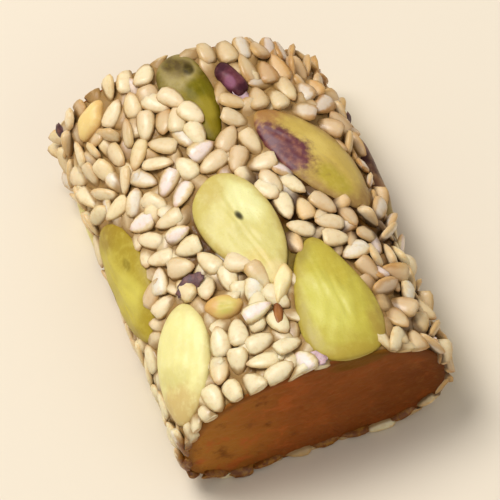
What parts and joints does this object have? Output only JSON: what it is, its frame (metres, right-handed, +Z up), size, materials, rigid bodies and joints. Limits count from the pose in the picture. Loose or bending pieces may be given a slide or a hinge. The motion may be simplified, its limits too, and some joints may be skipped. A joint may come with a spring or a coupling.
{
  "type": "pistachio nougat",
  "caption": "Cut length of a soft brown nougat roll, pressed all round with sesame seeds and set with pistachio kernels, resting on its flattened underside.",
  "frame": {"origin": "middle of the flattened underside", "axes": "+Y along the roll from the shown cut end to the hidden one, +Z up, +X across the roll"},
  "size_m": [0.0314, 0.042, 0.0181],
  "materials": {
    "brown_jelly": "moist, softly shining cut face",
    "sesame": "hulled sesame seeds under a thin sticky film",
    "pistachio": "smooth kernel, satin"
  },
  "bodies": {
    "root": {"jelly_core": "brown_jelly", "sesame_coat": "sesame", "pistachio_01": "pistachio", "pistachio_02": "pistachio", "pistachio_03": "pistachio", "pistachio_04": "pistachio", "pistachio_05": "pistachio", "pistachio_06": "pistachio", "pistachio_07": "pistachio", "pistachio_08": "pistachio", "pistachio_09": "pistachio", "pistachio_10": "pistachio", "pistachio_11": "pistachio", "pistachio_12": "pistachio", "pistachio_13": "pistachio", "pistachio_14": "pistachio", "pistachio_15": "pistachio", "pistachio_16": "pistachio"}
  },
  "joints": []
}
